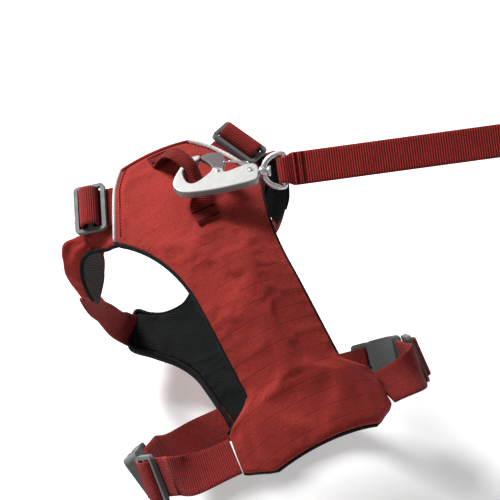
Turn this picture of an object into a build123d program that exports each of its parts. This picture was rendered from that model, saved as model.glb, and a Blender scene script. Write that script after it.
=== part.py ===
from build123d import *
import os
from math import sqrt

os.makedirs("parts", exist_ok=True)

# A padded no pull dog harness, with the snap hook and leash clipped to its back loop.
# +X points to the dog's head, +Y to its left and +Z up.
# The origin is on the lining, over the spine, where the panel rests on the dog's back.

# ---- driving dimensions, in mm ----
PANEL_THICK = 5.6           # shell, foam and lining together
SHELL_THICK = 1.4
LINING_THICK = 1.1
LAYER_GAP = 0.05
BACK_RADIUS = 75.0          # across the dog's back
BACK_HALF_ANGLE = 52.0
BACK_STATIONS = [92, 66, 40, 14, -12, -38, -64, -96, -136]
NECKLINE_X = 84.0
STRIP_HALF = 31.0           # the narrow part of the back panel
BAND_WIDE = 3.0             # bindings and pipings
BAND_PROUD = 0.8

WEBBING_WIDE = 25.0
WEBBING_THICK = 2.0
CLEARANCE = 0.4             # between a moving piece and the strap that it slides on

CHEST_TOP = -142.0          # the face that touches the dog's chest
CHEST_THICK = 5.6

ADJUSTER_LONG = 20.0
ADJUSTER_WIDE = 31.0
ADJUSTER_THICK = 3.0
ADJUSTER_BAR = 3.6
ADJUSTER_SLOT = 5.5

SOCKET_LONG = 24.0
SOCKET_WIDE = 31.0
SOCKET_THICK = 9.0
PLUG_LONG = 14.0
STRAP_BELOW_PLUG = 4.4      # the belly strap runs this far inside the buckle's middle plane

HOOK_THICK = 6.4
GATE_THICK = 3.2
GATE_SLOT = 4.0
PIN_RADIUS = 1.2
POST_RADIUS = 1.7
RING_WIRE = 1.6

LEASH_WIDE = 20.0
LEASH_THICK = 2.2
LEASH_RUN = 74.0            # two runs of this length, with one slight turn between them
LEASH_SAG = 1.6

LEFT, RIGHT = 1, -1
SIDES = {"left": LEFT, "right": RIGHT}


def save(piece, name):
    """Label a finished piece and write it as its own STEP file."""
    piece.part.label = name
    export_step(piece.part, f"parts/{name}.step")


def to_side(point, side):
    """Mirror a point given for the dog's left onto the wanted side."""
    return Vector(point[0], point[1] * side, point[2])


def spine_height(x):
    """Height of the panel's top surface along the spine: an arch that runs out into a slope."""
    crest_x, crest_z, curve, slope_start = 22.0, 7.0, 340.0, -45.0
    if x >= slope_start:
        return crest_z - (x - crest_x) ** 2 / curve
    slope = 2 * (crest_x - slope_start) / curve
    return crest_z - (slope_start - crest_x) ** 2 / curve - slope * (slope_start - x)


def back_height(x, y):
    """Height of the back panel's top surface."""
    return spine_height(x) - BACK_RADIUS + sqrt(BACK_RADIUS ** 2 - y ** 2)


def back_layer(outer_depth, inner_depth):
    """Loft a curved layer over the back, between two depths below the top surface."""
    sections = []
    for x in BACK_STATIONS:
        centre = (x, 0, spine_height(x) - BACK_RADIUS)
        with BuildSketch(Plane(origin=centre, x_dir=(0, 1, 0), z_dir=(1, 0, 0))) as section:
            with BuildLine():
                start = 90 - BACK_HALF_ANGLE
                outer = CenterArc((0, 0), BACK_RADIUS - outer_depth, start, 2 * BACK_HALF_ANGLE)
                inner = CenterArc((0, 0), BACK_RADIUS - inner_depth, start, 2 * BACK_HALF_ANGLE)
                Line(outer @ 0, inner @ 0)
                Line(outer @ 1, inner @ 1)
            make_face()
        sections.append(section.sketch)
    loft(sections, ruled=True)


def piping_edge(side):
    """The slanting front edge, from the neckline to the armhole's front corner."""
    return Polyline((NECKLINE_X, 23 * side), (73, 33 * side), (60, 40 * side), (41, 50 * side))


def armhole_edge(side):
    """The scooped edge behind the front leg, then the straight side of the strip."""
    ThreePointArc((41, 50 * side), (12, 37.2 * side), (-24, STRIP_HALF * side))
    return Line((-24, STRIP_HALF * side), (-86, STRIP_HALF * side))


def rear_edge(side):
    """The rear arm that the girth webbing is sewn to."""
    return Polyline((-86, STRIP_HALF * side), (-91, 36 * side), (-93, 48 * side),
                    (-117, 52 * side), (-127, 36 * side), (-130, 0))


def cut_to_back_outline(inset):
    """Keep what lies inside the back panel's outline."""
    with BuildSketch(Plane.XY.offset(-140)) as outline:
        with BuildLine():
            Line((NECKLINE_X, -23), (NECKLINE_X, 23))
            for side in SIDES.values():
                piping_edge(side)
                armhole_edge(side)
                rear_edge(side)
        make_face()
        offset(amount=-inset, kind=Kind.INTERSECTION)
    extrude(outline.sketch, amount=180, mode=Mode.INTERSECT)


def ribbon(route, outward, width, thickness):
    """Loft a flat strap through its route. Outward points away from the dog at each point."""
    points = [Vector(*p) for p in route]
    count = len(points)
    widths = width if isinstance(width, list) else [width] * count
    outs = outward if isinstance(outward, list) else [outward] * count
    sections = []
    for i in range(count):
        travel = (points[min(i + 1, count - 1)] - points[max(i - 1, 0)]).normalized()
        across = Vector(*outs[i]).cross(travel).normalized()
        with BuildSketch(Plane(origin=points[i], x_dir=across, z_dir=travel)) as section:
            Rectangle(widths[i], thickness)
        sections.append(section.sketch)
    loft(sections, ruled=True)


def strap_plane(start, end, share, outward):
    """A plane on a straight strap: x along it, y across it and z outward."""
    along = (Vector(*end) - Vector(*start)).normalized()
    across = Vector(*outward).cross(along).normalized()
    origin = Vector(*start) + (Vector(*end) - Vector(*start)) * share
    return Plane(origin=origin, x_dir=along, z_dir=along.cross(across))


def profile_plane(place):
    """The plane through a strap's length and its outward direction."""
    return Plane(origin=place.origin, x_dir=place.x_dir, z_dir=place.y_dir * -1)


def d_ring(bar_half, depth, wire):
    """A D ring lying in the XY plane: its bar on the Y axis and its bow towards -X."""
    with BuildLine() as bow:
        ThreePointArc((0, bar_half), (-depth, 0), (0, -bar_half))
    with BuildSketch(Plane(origin=bow.line @ 0, z_dir=bow.line % 0)) as bow_section:
        Circle(wire)
    sweep(bow_section.sketch, path=bow.line)
    with BuildSketch(Plane.XZ.offset(-bar_half)) as bar_section:
        Circle(wire)
    extrude(bar_section.sketch, amount=2 * bar_half)
    with Locations((0, bar_half, 0), (0, -bar_half, 0)):
        Sphere(wire)


def adjuster_frame(place):
    """A tri-glide frame: two slots with the bar between them."""
    with BuildSketch(place.offset(WEBBING_THICK / 2 + CLEARANCE)) as frame:
        RectangleRounded(ADJUSTER_LONG, ADJUSTER_WIDE, 3)
        slot_at = (ADJUSTER_BAR + ADJUSTER_SLOT) / 2
        with Locations((-slot_at, 0), (slot_at, 0)):
            Rectangle(ADJUSTER_SLOT, WEBBING_WIDE + 1, mode=Mode.SUBTRACT)
    extrude(frame.sketch, amount=ADJUSTER_THICK)


def webbing_fold(place, base, top, reach):
    """The webbing that comes up one slot, over the bar and down the other."""
    thick = 1.8
    with BuildSketch(profile_plane(place)) as profile:
        with BuildLine():
            outer = ThreePointArc((-reach, top), (0, top + 3), (reach, top))
            inner = ThreePointArc((-reach + thick, top + 0.4), (0, top + 3 - thick),
                                  (reach - thick, top + 0.4))
            Polyline(outer @ 0, (-reach, base), (-reach + thick, base), inner @ 0)
            Polyline(outer @ 1, (reach, base), (reach - thick, base), inner @ 1)
        make_face()
    extrude(profile.sketch, amount=WEBBING_WIDE / 2 - 0.2, both=True)


# ---- back panel ----

with BuildPart() as back_panel_shell:
    back_layer(0, SHELL_THICK)
    cut_to_back_outline(BAND_WIDE / 2 + 0.1)
save(back_panel_shell, "back_panel_shell")

with BuildPart() as back_panel_foam:
    back_layer(SHELL_THICK + LAYER_GAP, PANEL_THICK - LINING_THICK - LAYER_GAP)
    cut_to_back_outline(BAND_WIDE / 2 + 2)
save(back_panel_foam, "back_panel_foam")

with BuildPart() as back_panel_lining:
    back_layer(PANEL_THICK - LINING_THICK, PANEL_THICK)
    cut_to_back_outline(BAND_WIDE / 2 + 0.1)
save(back_panel_lining, "back_panel_lining")


def edge_band():
    """Give the band drawn last the panel's curve, a little proud on both faces."""
    extrude(amount=180, mode=Mode.INTERSECT)


for word, side in SIDES.items():
    with BuildPart() as armhole_binding:
        back_layer(-BAND_PROUD, PANEL_THICK + BAND_PROUD)
        with BuildSketch(Plane.XY.offset(-140)):
            with BuildLine():
                armhole_edge(side)
            trace(line_width=BAND_WIDE)
            with Locations((43, 50 * side)):
                Rectangle(7, 10, mode=Mode.SUBTRACT)
        edge_band()
    save(armhole_binding, f"armhole_binding_{word}")

    with BuildPart() as piping:
        back_layer(-BAND_PROUD, PANEL_THICK + BAND_PROUD)
        with BuildSketch(Plane.XY.offset(-140)):
            with BuildLine():
                Polyline((NECKLINE_X - 1, 23.9 * side), (73, 33 * side), (60, 40 * side), (41, 50 * side))
            trace(line_width=BAND_WIDE)
        edge_band()
    save(piping, f"reflective_piping_{word}")

with BuildPart() as neckline_binding:
    back_layer(-BAND_PROUD, PANEL_THICK + BAND_PROUD)
    with BuildSketch(Plane.XY.offset(-140)):
        with Locations((NECKLINE_X, 0)):
            Rectangle(BAND_WIDE, 43)
    edge_band()
save(neckline_binding, "neckline_binding")

# ---- back leash loop: webbing that arches off the panel, drawn in where the hook grips it ----

LOOP_THICK = 1.8


def on_panel(x, y):
    return (x, y, back_height(x, y) + LOOP_THICK / 2 + 0.2)


loop_route = [on_panel(79, 1), on_panel(72, 1), (69.5, 0.5, 7), (66, 0, 16.5), (60, -1, 23),
              (53, -3, 24), (47.5, -4.5, 22), (43.2, -5, 18.4), (39.3, -5, 14.4), (35.5, -4.5, 12.7),
              (28.5, -2.5, 10.4), on_panel(23, -0.5), on_panel(12, 0)]
loop_widths = [15, 15, 14, 12.5, 11.5, 10.5, 10, 10, 10, 10.5, 13, 15, 15]
with BuildPart() as back_leash_loop:
    ribbon(loop_route, (0.25, 0, 1), loop_widths, LOOP_THICK)
save(back_leash_loop, "back_leash_loop")

with BuildPart() as loop_bar_tacks:
    for x in (75.5, 17.5):
        spot = Vector(*on_panel(x, 0.5)) + Vector(0, 0, LOOP_THICK / 2 + 0.75)
        with BuildSketch(Plane(origin=spot, x_dir=(1, 0, 0), z_dir=(0, 0, 1))):
            Rectangle(5, 12)
        extrude(amount=0.6)
save(loop_bar_tacks, "loop_bar_tacks")

# ---- neck webbing, adjusters, shoulder pads and chest straps ----

NECK_START = (65.5, 40.5, -12.2)
NECK_END = (74.9, 56.9, -18.8)
NECK_OUT = (-0.01, 0.42, 0.91)

# front edge and rear edge of the shoulder pad, from the panel down to its pointed tip
PAD_EDGES = [((62, 43.6, -17.4), (44, 52.4, -20)),
             ((62.5, 58, -24.8), (46, 56, -26)),
             ((64, 71, -30), (47, 55, -36)),
             ((59, 75, -41), (46, 56, -48)),
             ((54, 74, -55), (45, 59, -60)),
             ((50.5, 70, -67), (45.5, 61, -70))]
PAD_THICK = 4.6
PAD_LINING_THICK = 1.0


def pad_layer(side, low, high, front_inset, rear_inset, stations):
    """Loft one layer of a shoulder pad, between two heights above its middle surface."""
    sections = []
    for front, rear in stations:
        index = PAD_EDGES.index((front, rear))
        a, b = to_side(front, side), to_side(rear, side)
        ends = [PAD_EDGES[max(index - 1, 0)], PAD_EDGES[min(index + 1, len(PAD_EDGES) - 1)]]
        first, last = [(to_side(f, side) + to_side(r, side)) * 0.5 for f, r in ends]
        across = (b - a).normalized()
        normal = across.cross(last - first).normalized() * side
        travel = (normal.cross(across)).normalized()
        wide = (b - a).length - front_inset - rear_inset
        middle = a + across * (front_inset + wide / 2) + normal * ((low + high) / 2)
        with BuildSketch(Plane(origin=middle, x_dir=across, z_dir=travel)) as section:
            Rectangle(wide, high - low)
        sections.append(section.sketch)
    loft(sections, ruled=True)


CHEST_STRAP_ROUTE = [(47.6, 65.3, -71.5), (50, 60, -84), (55, 52, -101),
                     (60.5, 42, -125), (66.8, 33.9, -138), (66.2, 31.8, -143.2)]
CHEST_STRAP_OUT = [(0.83, -0.5, -0.1), (0.95, 0.1, 0.1), (0.97, 0.25, 0.12),
                   (0.9, 0.4, -0.1), (0.53, 0.73, -0.44), (0.53, 0.73, -0.44)]
CHEST_STRAP_WIDTHS = [10, 12, 13, 17, 23, 24]

for word, side in SIDES.items():
    start, end = to_side(NECK_START, side), to_side(NECK_END, side)
    out = to_side(NECK_OUT, side)
    with BuildPart() as neck_webbing:
        nearly = start + (end - start) * 0.96
        corner = [to_side(p, side) for p in [(76.4, 60, -21.4), (76.4, 61.2, -24)]]
        outs = [out, out, out, to_side((0.25, 0.75, 0.6), side), to_side((0.5, 0.85, 0.1), side)]
        widths = 3 * [WEBBING_WIDE] + [22, 19]
        ribbon([start, nearly, end] + corner, outs, widths, WEBBING_THICK)
    save(neck_webbing, f"neck_webbing_{word}")

    place = strap_plane(start, end, 0.6, out)
    with BuildPart() as neck_adjuster:
        adjuster_frame(place)
    save(neck_adjuster, f"neck_adjuster_{word}")
    with BuildPart() as neck_fold:
        webbing_fold(place, WEBBING_THICK / 2 + CLEARANCE, 4.2, 5.1)
    save(neck_fold, f"neck_adjuster_fold_{word}")

    with BuildPart() as shoulder_pad:
        pad_layer(side, -PAD_THICK / 2, PAD_THICK / 2, 0, 0, PAD_EDGES)
    save(shoulder_pad, f"shoulder_pad_{word}")
    with BuildPart() as shoulder_lining:
        face = -PAD_THICK / 2 - LAYER_GAP
        pad_layer(side, face - PAD_LINING_THICK, face, 8, 1.5, PAD_EDGES[2:5])
    save(shoulder_lining, f"shoulder_lining_{word}")

    with BuildPart() as chest_strap:
        ribbon([to_side(p, side) for p in CHEST_STRAP_ROUTE], [to_side(o, side) for o in CHEST_STRAP_OUT],
               CHEST_STRAP_WIDTHS, WEBBING_THICK)
    save(chest_strap, f"chest_strap_{word}")

# ---- chest panel, a Y that narrows to the belly straps ----

CHEST_TAIL_END = -38.5
CHEST_TAIL_HALF = 11.0


def chest_outline(inset):
    """Draw the chest panel: a dipped front edge, two strap corners and a narrow tail."""
    with BuildLine() as edge:
        ThreePointArc((76, 22), (65, 0), (76, -22))
        for side in SIDES.values():
            Line((76, 22 * side), (54, 38 * side))
            Line((54, 38 * side), (28, 17.5 * side))
            ThreePointArc((28, 17.5 * side), (14.5, 12 * side), (0, CHEST_TAIL_HALF * side))
            Polyline((0, CHEST_TAIL_HALF * side), (CHEST_TAIL_END, CHEST_TAIL_HALF * side),
                     (CHEST_TAIL_END, 0))
    make_face(edge.line)
    if inset:
        offset(amount=-inset, kind=Kind.INTERSECTION)


with BuildPart() as chest_panel_lining:
    with BuildSketch(Plane.XY.offset(CHEST_TOP - LINING_THICK)):
        chest_outline(BAND_WIDE)
    extrude(amount=LINING_THICK)
save(chest_panel_lining, "chest_panel_lining")

with BuildPart() as chest_panel_foam:
    with BuildSketch(Plane.XY.offset(CHEST_TOP - CHEST_THICK + SHELL_THICK)):
        chest_outline(BAND_WIDE + 1)
    extrude(amount=CHEST_THICK - SHELL_THICK - LINING_THICK)
save(chest_panel_foam, "chest_panel_foam")

with BuildPart() as chest_panel_shell:
    with BuildSketch(Plane.XY.offset(CHEST_TOP - CHEST_THICK)):
        chest_outline(BAND_WIDE)
    extrude(amount=SHELL_THICK)
save(chest_panel_shell, "chest_panel_shell")

with BuildPart() as chest_panel_binding:
    with BuildSketch(Plane.XY.offset(CHEST_TOP - CHEST_THICK - 0.3)):
        chest_outline(0)
        offset(amount=0.1 - BAND_WIDE, kind=Kind.INTERSECTION, mode=Mode.SUBTRACT)
    extrude(amount=CHEST_THICK + 0.6)
save(chest_panel_binding, "chest_panel_binding")

# ---- front leash loop and its ring, under the chest panel's front ----

FRONT_LOOP_X = 50.0
FRONT_BAR_Z = -151.0
FRONT_RING_WIRE = 1.75
with BuildPart() as front_leash_loop:
    with BuildSketch(Plane.XZ.offset(-7.5)):
        under = CHEST_TOP - CHEST_THICK - 0.35
        with BuildLine():
            Polyline((36, under), (36, under - 1.8), (45, under - 1.8))
            ThreePointArc((45, under - 1.8), (FRONT_LOOP_X, FRONT_BAR_Z - 4.4), (55, under - 1.8))
            Polyline((55, under - 1.8), (64, under - 1.8), (64, under), (36, under))
        make_face()
        with Locations((FRONT_LOOP_X, FRONT_BAR_Z)):
            Circle(FRONT_RING_WIRE + 0.5, mode=Mode.SUBTRACT)
    extrude(amount=15)
save(front_leash_loop, "front_leash_loop")

with BuildPart() as front_ring_flat:
    d_ring(10, 17, FRONT_RING_WIRE)
with BuildPart() as front_leash_ring:
    hanging = Plane(origin=(FRONT_LOOP_X, 0, FRONT_BAR_Z), x_dir=(0, 0, 1), z_dir=(1, 0, 0))
    with Locations(hanging.location):
        add(front_ring_flat.part)
save(front_leash_ring, "front_leash_ring")

# ---- girth webbing, adjusters, buckles and belly straps ----

GIRTH_ROUTE = [(-105.2, 51.7, -53.6), (-102.5, 66, -58), (-98, 77.5, -63), (-91, 84, -68)]
BUCKLE_START = (-64, 91, -101)
BUCKLE_END = (-32, 62, -139)
GIRTH_OUT = [(0.1, 0.69, 0.72), (0.1, 0.8, 0.6), (0, 0.93, 0.35)]
SIDE_OUT = (-0.05, 1, 0.1)
BUCKLE_OUT = (0.1, 0.85, -0.5)
BUCKLE_LINE = 58.0          # the straight run of socket, plug and strap
BELLY_TAIL = [(-28, 46, -145), (-26, 31, -145.9), (-26, CHEST_TAIL_HALF + 0.1, -145.9)]
BELLY_OUT = [(0, 0.3, -0.95), (0, 0, -1), (0, 0, -1)]

for word, side in SIDES.items():
    buckle_start, buckle_end = to_side(BUCKLE_START, side), to_side(BUCKLE_END, side)
    buckle = strap_plane(buckle_start, buckle_end, 0, to_side(BUCKLE_OUT, side))

    with BuildPart() as girth_webbing:
        points = [to_side(p, side) for p in GIRTH_ROUTE]
        soon = points[-1] + (buckle_start - points[-1]) * 0.05
        ribbon(points + [soon, buckle_start],
               [to_side(o, side) for o in GIRTH_OUT + 3 * [SIDE_OUT]], WEBBING_WIDE, WEBBING_THICK)
    save(girth_webbing, f"girth_webbing_{word}")

    place = strap_plane(points[-1], buckle_start, 0.52, to_side(SIDE_OUT, side))
    with BuildPart() as girth_adjuster:
        adjuster_frame(place.offset(0.3))
    save(girth_adjuster, f"girth_adjuster_{word}")
    with BuildPart() as girth_fold:
        webbing_fold(place, WEBBING_THICK / 2 + CLEARANCE + 0.3, 4.5, 5.1)
    save(girth_fold, f"girth_adjuster_fold_{word}")

    with BuildPart() as buckle_socket:
        with BuildSketch(buckle.offset(-SOCKET_THICK / 2)):
            with Locations((SOCKET_LONG / 2 + 1.2, 0)):
                RectangleRounded(SOCKET_LONG - 2.4, SOCKET_WIDE, 4)
        extrude(amount=SOCKET_THICK)
        with BuildSketch(buckle.offset(-2.6)):
            with Locations((SOCKET_LONG / 2 + 8, 0)):
                Rectangle(SOCKET_LONG, 25)
            with Locations((14, 0)):
                Rectangle(7, SOCKET_WIDE + 2)
        extrude(amount=5.2, mode=Mode.SUBTRACT)
    save(buckle_socket, f"buckle_socket_{word}")

    plug_start = SOCKET_LONG + 0.4
    with BuildPart() as buckle_plug:
        with BuildSketch(buckle.offset(-2.8)):
            with Locations((plug_start + PLUG_LONG / 2, 0)):
                RectangleRounded(PLUG_LONG, 31, 2.5)
            for slot_x in (3.6, 9.6):
                with Locations((plug_start + slot_x, 0)):
                    Rectangle(3.2, 26, mode=Mode.SUBTRACT)
        extrude(amount=6)
        with BuildSketch(buckle.offset(-1.6)):
            with Locations((plug_start - 5.8, 0)):
                Rectangle(12, 6)
        extrude(amount=3.2)
    save(buckle_plug, f"buckle_plug_{word}")

    with BuildPart() as plug_prongs:
        with BuildSketch(buckle.offset(-1.9)):
            for across in (1, -1):
                with BuildLine():
                    Polyline((plug_start - 0.05, 7 * across), (plug_start - 0.05, 10.5 * across),
                             (17, 11 * across), (17, 14 * across), (12.5, 13.2 * across),
                             (9.2, 10 * across), (9.2, 8.4 * across), (plug_start - 0.05, 7 * across))
                make_face()
        extrude(amount=3.8)
    save(plug_prongs, f"buckle_prongs_{word}")

    inner = buckle.offset(-STRAP_BELOW_PLUG)
    straight = [inner.origin + inner.x_dir * reach
                for reach in (SOCKET_LONG + 1.5, BUCKLE_LINE - 2, BUCKLE_LINE)]
    with BuildPart() as belly_strap:
        outs = [to_side(o, side) for o in 3 * [BUCKLE_OUT] + BELLY_OUT]
        ribbon(straight + [to_side(p, side) for p in BELLY_TAIL], outs, WEBBING_WIDE, WEBBING_THICK)
    save(belly_strap, f"belly_strap_{word}")

# ---- snap hook, lying across the loop with its tail to the dog's right ----

hook = Plane(origin=(41, -2.8, 18), x_dir=(-0.45, -0.89, 0.03), z_dir=(0.12, -0.028, 0.99))
HOOK_PIVOT = (15.0, 1.6)
SWIVEL_V = 1.5

HOOK_OUTLINE = [(4.2, 15.3), (-2.6, 12.6), (-8.4, 3.4), (-12, -7), (-9, -13.6), (-1.7, -15.4),
                (13, -13.9), (28.4, -10.4), (39.3, -6.6), (39.3, 6.4), (34.5, 7.4), (28.5, 4.4),
                (19.6, 0.2), (17.8, 4), (12.2, 4.6), (10.6, 1), (4.8, -4.8), (-0.3, -7.8),
                (-4, -5.7), (-5.6, 2.6), (-0.3, 8.6), (4.3, 12.1)]
with BuildPart() as hook_body:
    with BuildSketch(hook.offset(-HOOK_THICK / 2)) as outline:
        with BuildLine():
            Polyline(HOOK_OUTLINE, close=True)
        make_face()
        fillet(outline.vertices(), radius=1)
    extrude(amount=HOOK_THICK)
    ends = hook_body.faces().sort_by(Axis(hook.origin, hook.z_dir))
    chamfer(ends[0].edges() + ends[-1].edges(), length=0.6)
    with BuildSketch(hook.offset(-GATE_SLOT / 2)):
        with Locations((16.5, 2.4)):
            Rectangle(12.5, 11.4)
    extrude(amount=GATE_SLOT, mode=Mode.SUBTRACT)
    with BuildSketch(hook.offset(-HOOK_THICK / 2 - 1)):
        with Locations(HOOK_PIVOT):
            Circle(PIN_RADIUS)
    extrude(amount=HOOK_THICK + 2, mode=Mode.SUBTRACT)
save(hook_body, "hook_body")

with BuildPart() as hook_gate:
    with BuildSketch(hook.offset(-GATE_THICK / 2)) as lever:
        with BuildLine():
            Polyline((5, 14.5), (9.7, 17.7), (18.1, 17.3), (19.9, 10.4), (17.9, 2), (15, -1.2),
                     (12.2, 1.6), (11.3, 6.8), (8.4, 10.7), close=True)
        make_face()
        fillet(lever.vertices(), radius=1)
        with Locations(HOOK_PIVOT):
            Circle(PIN_RADIUS + 0.05, mode=Mode.SUBTRACT)
    extrude(amount=GATE_THICK)
save(hook_gate, "hook_gate")

with BuildPart() as gate_pin:
    with BuildSketch(hook.offset(-HOOK_THICK / 2 - 0.3)):
        with Locations(HOOK_PIVOT):
            Circle(PIN_RADIUS)
    extrude(amount=HOOK_THICK + 0.6)
save(gate_pin, "gate_pin")


def hook_point(u, v):
    """A point in the hook's middle plane."""
    return hook.origin + hook.x_dir * u + hook.y_dir * v


with BuildPart() as gate_spring:
    above_gate = hook.z_dir * (GATE_THICK / 2 + 0.85)
    spring_from, spring_to = hook_point(20.4, 8.3) + above_gate, hook_point(31, 6.6) + above_gate
    with BuildSketch(Plane(origin=spring_from, x_dir=hook.z_dir, z_dir=spring_to - spring_from)):
        Circle(0.45)
    extrude(amount=(spring_to - spring_from).length)
save(gate_spring, "gate_spring")

# ---- swivel rivet and the leash's D ring ----

TAIL_U = 39.3
HUB_U, HUB_LONG = TAIL_U + 0.6, 4.6
ARC_U = HUB_U + HUB_LONG / 2
BAR_U = ARC_U + 12.4
BAR_HALF = 9.6

swivel = Plane(origin=hook_point(0, SWIVEL_V), x_dir=hook.y_dir, z_dir=hook.x_dir)
LEASH_ACROSS = Vector(0.757, -0.27, 0.594)
across_swivel = (LEASH_ACROSS - hook.x_dir * LEASH_ACROSS.dot(hook.x_dir)).normalized()

with BuildPart() as swivel_rivet:
    with BuildSketch(swivel.offset(TAIL_U)):
        Circle(POST_RADIUS)
    extrude(amount=HUB_LONG + 2.2)
    with BuildSketch(swivel.offset(HUB_U + HUB_LONG + 0.4)):
        Circle(3.0)
    extrude(amount=1.8)
save(swivel_rivet, "swivel_rivet")

bar_middle = swivel.origin + hook.x_dir * BAR_U
with BuildPart() as ring_flat:
    d_ring(BAR_HALF, BAR_U - ARC_U, RING_WIRE)
    with BuildSketch(Plane.YZ.offset(HUB_U - BAR_U)):
        Circle(3.3)
    extrude(amount=HUB_LONG)
    with BuildSketch(Plane.YZ.offset(HUB_U - BAR_U - 1)):
        Circle(POST_RADIUS + 0.05)
    extrude(amount=HUB_LONG + 2, mode=Mode.SUBTRACT)
with BuildPart() as leash_ring:
    ring_place = Plane(origin=bar_middle, x_dir=hook.x_dir, z_dir=hook.x_dir.cross(across_swivel))
    with Locations(ring_place.location):
        add(ring_flat.part)
save(leash_ring, "leash_ring")

# ---- leash: a fold round the ring's bar, the taut strap and its hand loop ----

leash = Plane(origin=bar_middle, x_dir=(-0.39, -0.92, 0.08), z_dir=LEASH_ACROSS)
STRAP_FROM = 6.0
FOLD_RADIUS = 4.2
FOLD_WIDE = 15.2
STRAP_TO = STRAP_FROM + 2 * LEASH_RUN
STRAP_SIDE = -LEASH_THICK / 2 - 0.05

with BuildPart() as leash_fold:
    with BuildSketch(leash.offset(-FOLD_WIDE / 2)):
        with BuildLine():
            Polyline((0, FOLD_RADIUS), (STRAP_FROM - 0.1, LEASH_THICK),
                     (STRAP_FROM - 0.1, -LEASH_THICK), (0, -FOLD_RADIUS))
            ThreePointArc((0, -FOLD_RADIUS), (-FOLD_RADIUS, 0), (0, FOLD_RADIUS))
        make_face()
        Circle(RING_WIRE + 0.7, mode=Mode.SUBTRACT)
    extrude(amount=FOLD_WIDE)
    with BuildSketch(leash.offset(-LEASH_WIDE / 2)):
        with Locations((STRAP_FROM + 3, LEASH_THICK / 2 + 0.05)):
            Rectangle(6.4, LEASH_THICK)
    extrude(amount=LEASH_WIDE)
save(leash_fold, "leash_fold")

with BuildPart() as leash_webbing:
    with BuildSketch(leash.offset(-LEASH_WIDE / 2)):
        with BuildLine():
            FilletPolyline((STRAP_FROM, STRAP_SIDE), (STRAP_FROM + LEASH_RUN, STRAP_SIDE),
                           (STRAP_TO, STRAP_SIDE + LEASH_SAG), radius=LEASH_RUN * 0.9 / (LEASH_SAG / LEASH_RUN))
        trace(line_width=LEASH_THICK)
    extrude(amount=LEASH_WIDE)
save(leash_webbing, "leash_webbing")

HAND_LOOP_AT = STRAP_TO + 78
HAND_LOOP_RADIUS = 22.0
with BuildPart() as leash_hand_loop:
    with BuildSketch(leash.offset(-LEASH_WIDE / 2)):
        end_at = STRAP_SIDE + LEASH_SAG
        with Locations((STRAP_TO + 2.6, end_at)):
            Circle(2.5)
        with Locations((HAND_LOOP_AT, end_at)):
            Circle(HAND_LOOP_RADIUS)
        make_hull()
        offset(amount=-LEASH_THICK, mode=Mode.SUBTRACT)
    extrude(amount=LEASH_WIDE)
save(leash_hand_loop, "leash_hand_loop")
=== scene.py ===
import itertools
import json
import math

import bmesh
import bpy
import numpy as np
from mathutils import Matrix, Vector, noise
from mathutils.geometry import tessellate_polygon


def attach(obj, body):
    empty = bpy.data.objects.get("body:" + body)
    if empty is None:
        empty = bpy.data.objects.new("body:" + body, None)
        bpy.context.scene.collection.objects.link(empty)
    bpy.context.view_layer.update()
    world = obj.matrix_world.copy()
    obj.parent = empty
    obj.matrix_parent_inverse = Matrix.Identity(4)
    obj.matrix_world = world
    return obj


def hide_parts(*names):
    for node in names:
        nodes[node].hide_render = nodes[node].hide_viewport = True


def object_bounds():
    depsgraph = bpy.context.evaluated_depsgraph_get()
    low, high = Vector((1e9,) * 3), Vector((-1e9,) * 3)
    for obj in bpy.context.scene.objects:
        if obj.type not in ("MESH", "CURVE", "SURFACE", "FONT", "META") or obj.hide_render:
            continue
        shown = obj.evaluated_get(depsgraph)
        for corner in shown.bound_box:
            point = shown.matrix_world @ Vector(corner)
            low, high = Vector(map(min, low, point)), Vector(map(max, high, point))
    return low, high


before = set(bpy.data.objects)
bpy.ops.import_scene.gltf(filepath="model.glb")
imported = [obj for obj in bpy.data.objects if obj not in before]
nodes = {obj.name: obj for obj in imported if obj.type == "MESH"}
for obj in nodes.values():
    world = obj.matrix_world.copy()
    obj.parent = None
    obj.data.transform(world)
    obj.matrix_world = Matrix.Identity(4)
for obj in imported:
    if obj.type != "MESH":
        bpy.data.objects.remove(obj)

# Lengths are in millimetres unless a comment says metres, and turn into metres as each mesh is made.
MM = 0.001
scene = bpy.context.scene
cad_low, cad_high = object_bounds()
SIDES = {"left": 1, "right": -1}

# ---------------------------------------------------------------- camera, lights and floor

VIEW_RIGHT = Vector((-0.489, -0.872, 0)).normalized()
VIEW_BACK = Vector((-0.523, 0.294, 0.8)).normalized()
VIEW_CENTRE = Vector((-12.8, -12.7, 0)) * MM
VIEW_WIDTH = 0.2976
VIEW_DISTANCE = 2.8


def add_camera():
    data = bpy.data.cameras.new("camera")
    data.sensor_width = 36
    data.lens = data.sensor_width * VIEW_DISTANCE / VIEW_WIDTH
    data.clip_end = 50
    camera = bpy.data.objects.new("camera", data)
    scene.collection.objects.link(camera)
    up = VIEW_BACK.cross(VIEW_RIGHT)
    place = camera.matrix_world.copy()
    for column, axis in enumerate((VIEW_RIGHT, up, VIEW_BACK, VIEW_CENTRE + VIEW_BACK * VIEW_DISTANCE)):
        for row in range(3):
            place[row][column] = axis[row]
    camera.matrix_world = place
    scene.camera = camera


def area_light(name, at, towards, size, watts):
    """A square lamp; its place and size are in metres."""
    data = bpy.data.lights.new(name, "AREA")
    data.size = size
    data.energy = watts
    lamp = bpy.data.objects.new(name, data)
    scene.collection.objects.link(lamp)
    lamp.location = at
    lamp.rotation_euler = (Vector(towards) - Vector(at)).to_track_quat("-Z", "Y").to_euler()


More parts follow.
